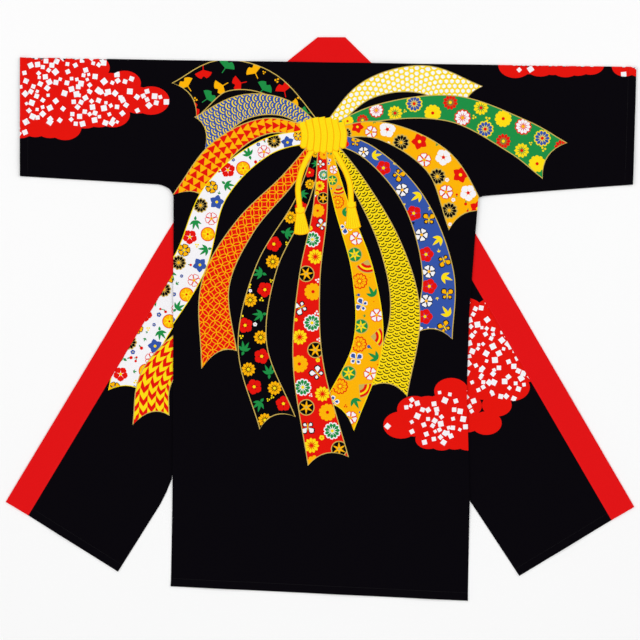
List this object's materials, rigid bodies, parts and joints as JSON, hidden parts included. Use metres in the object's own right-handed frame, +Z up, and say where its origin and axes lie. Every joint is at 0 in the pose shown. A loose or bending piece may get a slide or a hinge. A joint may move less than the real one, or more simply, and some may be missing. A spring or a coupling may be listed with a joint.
{
  "type": "long festival hanten laid flat with its back up",
  "caption": "Long Japanese hanten coat laid flat, back up, with square sleeves, side slits, a red collar band and each front turned out to its own side.",
  "frame": {"origin": "on the floor that the garment lies on, at the middle of the rectangle it covers", "axes": "+Z up out of the back's printed outside, +Y from the hem to the collar, +X to the wearer's right"},
  "size_m": [1.3804, 1.2339, 0.0058],
  "materials": {
    "printed_cloth": "matt woven cotton, black, printed on its outside in red, yellow, green, blue and white",
    "collar_cloth": "matt woven cotton, red, doubled over a core"
  },
  "bodies": {
    "root": {"back": "printed_cloth", "front_left": "printed_cloth", "front_right": "printed_cloth", "sleeve_left": "printed_cloth", "sleeve_right": "printed_cloth", "collar": "collar_cloth"}
  },
  "joints": []
}
